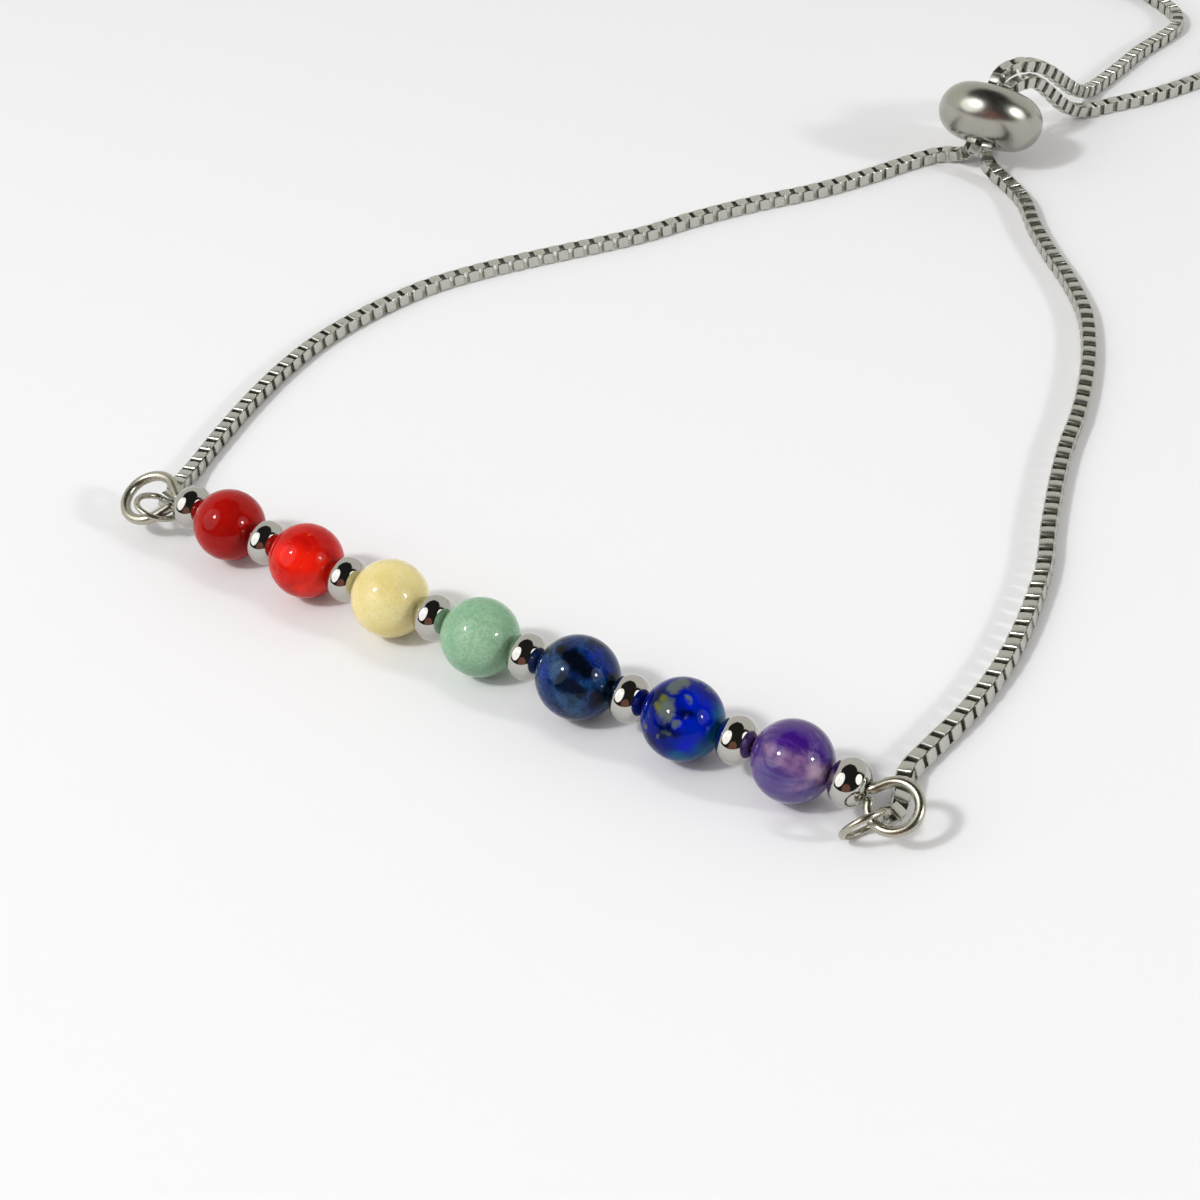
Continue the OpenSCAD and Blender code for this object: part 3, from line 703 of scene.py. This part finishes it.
ground = {"radius": 2990, "steps": 64, "colour": (0.83, 0.83, 0.84, 1), "roughness": 0.9, "gloss": 0.1,
          "glow": (0.9, 0.9, 0.9, 1), "fadeFrom": 200, "fadeTo": 600}
points = [(0, 0, 0)] + circle(ground["radius"], ground["steps"])
faces = [(0, 1 + i, 1 + (i + 1) % ground["steps"]) for i in range(ground["steps"])]
floor = meshObject("floor", points, faces)
floorMaterial, floorTree, floorShader = newMaterial("paleFloor")
feed(floorTree, floorShader, {
    "Base Color": ground["colour"], "Roughness": ground["roughness"],
    "Specular IOR Level": ground["gloss"]})
# out of the lamps' reach the floor glows by itself, so it stays pale to the horizon
place = addNode(floorTree, "ShaderNodeTexCoord").outputs["Object"]
away = addNode(floorTree, "ShaderNodeVectorMath", {0: place}, operation="LENGTH").outputs["Value"]
glow = addNode(floorTree, "ShaderNodeEmission", {"Color": ground["glow"]})
blend = addNode(floorTree, "ShaderNodeMixShader", {
    "Fac": eased(floorTree, away, ground["fadeFrom"] * mm, ground["fadeTo"] * mm),
    1: floorShader.outputs["BSDF"], 2: glow.outputs["Emission"]})
feed(floorTree, floorTree.nodes["Material Output"], {"Surface": blend.outputs["Shader"]})
floor.data.materials.append(floorMaterial)


dome = {"radius": 3000, "steps": 48, "rings": 12, "glow": (0.9, 0.9, 0.9, 1)}
points = [(0, 0, -dome["radius"])]
for ring in range(1, dome["rings"]):
    rise = math.pi * ring / dome["rings"] - math.pi / 2
    points += circle(dome["radius"] * math.cos(rise), dome["steps"], dome["radius"] * math.sin(rise))
points.append((0, 0, dome["radius"]))
faces = []
for i in range(dome["steps"]):
    j = (i + 1) % dome["steps"]
    faces.append((0, 1 + i, 1 + j))
    for ring in range(dome["rings"] - 2):
        low = 1 + ring * dome["steps"]
        high = low + dome["steps"]
        faces.append((low + i, high + i, high + j, low + j))
    faces.append((high + i, len(points) - 1, high + j))
backdrop = meshObject("backdrop", points, faces)
backdropMaterial, backdropTree, backdropShader = newMaterial("paleBackdrop")
feed(backdropTree, backdropShader, {
    "Base Color": (0, 0, 0, 1), "Specular IOR Level": 0, "Emission Color": dome["glow"],
    "Emission Strength": 1.0})
backdrop.data.materials.append(backdropMaterial)
# only the camera sees it
backdrop.visible_diffuse = backdrop.visible_glossy = backdrop.visible_transmission = False
backdrop.visible_volume_scatter = backdrop.visible_shadow = False


def areaLight(name, direction, distance, size, power, shown=True):
    data = bpy.data.lights.new(name, "AREA")
    data.shape = "ELLIPSE"
    data.size, data.size_y = size
    data.energy = power
    light = bpy.data.objects.new(name, data)
    way = Vector(direction).normalized()
    light.location = way * distance
    light.rotation_euler = way.to_track_quat("Z", "Y").to_euler()
    light.visible_glossy = shown
    scene.collection.objects.link(light)


lights = {
    "leftWindow": {"direction": (-0.42, -0.66, 0.6), "distance": 0.9, "size": (0.84, 1.0), "power": 3.6},
    "rightWindow": {"direction": (0.9, 0.12, 0.38), "distance": 0.9, "size": (0.58, 0.64), "power": 1.8},
    "leftLamp": {"direction": (-0.3, -0.6, 0.74), "distance": 0.8, "size": (0.1, 0.1), "power": 2.5},
    "rightLamp": {"direction": (0.87, 0.05, 0.44), "distance": 0.8, "size": (0.085, 0.085),
                  "power": 1.7},
    "fill": {"direction": (0, 0, 1), "distance": 0.8, "size": (1.1, 1.1), "power": 1.2, "shown": False},
}
for name, light in lights.items():
    areaLight(name, **light)

# the room that the metal reflects: a pale wall behind, dark above it, and a brown patch in front
room = {"wall": (0.76, 0.75, 0.71), "dark": (0.022, 0.021, 0.02), "brown": (0.24, 0.11, 0.085),
        "waves": 5.0, "waveDetail": 2.0, "waveHeight": 0.12, "wallTop": (0.84, 0.8),
        "behind": (-0.64, 0.77, 0), "behindEdge": (-0.05, 0.12),
        "front": (0.36, -0.9, 0.22), "frontEdge": (0.9, 0.94)}
world = bpy.data.worlds.new("room")
scene.world = world
world.use_nodes = True
tree = world.node_tree
direction = addNode(tree, "ShaderNodeTexCoord").outputs["Generated"]
height = addNode(tree, "ShaderNodeSeparateXYZ", {0: direction}).outputs["Z"]


def toward(way, edge):
    nearness = addNode(tree, "ShaderNodeVectorMath", {0: direction, 1: way}, operation="DOT_PRODUCT")
    return eased(tree, nearness.outputs["Value"], *edge)


wavy = addNode(tree, "ShaderNodeTexNoise", {
    "Vector": direction, "Scale": room["waves"], "Detail": room["waveDetail"]}).outputs["Fac"]
lifted = addNode(tree, "ShaderNodeMath", {0: wavy, 1: room["waveHeight"], 2: height},
                 operation="MULTIPLY_ADD").outputs[0]
below = eased(tree, lifted, *room["wallTop"])
behind = toward(Vector(room["behind"]), room["behindEdge"])
wallMask = addNode(tree, "ShaderNodeMath", {0: below, 1: behind}, operation="MULTIPLY").outputs[0]
brownMask = toward(Vector(room["front"]).normalized(), room["frontEdge"])
dim = addNode(tree, "ShaderNodeMix", {
    "Factor": brownMask, "A": (*room["dark"], 1), "B": (*room["brown"], 1)}, data_type="RGBA")
full = addNode(tree, "ShaderNodeMix", {
    "Factor": wallMask, "A": dim.outputs["Result"], "B": (*room["wall"], 1)}, data_type="RGBA")
feed(tree, tree.nodes["Background"], {"Color": full.outputs["Result"]})

view = {"lens": 60, "sensor": 36, "nearest": 1, "at": (78.180, -80.566, 100.321)}
cameraData = bpy.data.cameras.new("camera")
cameraData.lens = view["lens"]
cameraData.sensor_width = view["sensor"]
cameraData.clip_start = view["nearest"] * mm
camera = bpy.data.objects.new("camera", cameraData)
scene.collection.objects.link(camera)
spot = (barAt + Vector(view["at"])) * mm
camera.matrix_world = Matrix((
    (right.x, -down.x, -ahead.x, spot.x),
    (right.y, -down.y, -ahead.y, spot.y),
    (right.z, -down.z, -ahead.z, spot.z),
    (0, 0, 0, 1)))
scene.camera = camera
scene.view_settings.view_transform = "Standard"
print("floor, lights and camera")
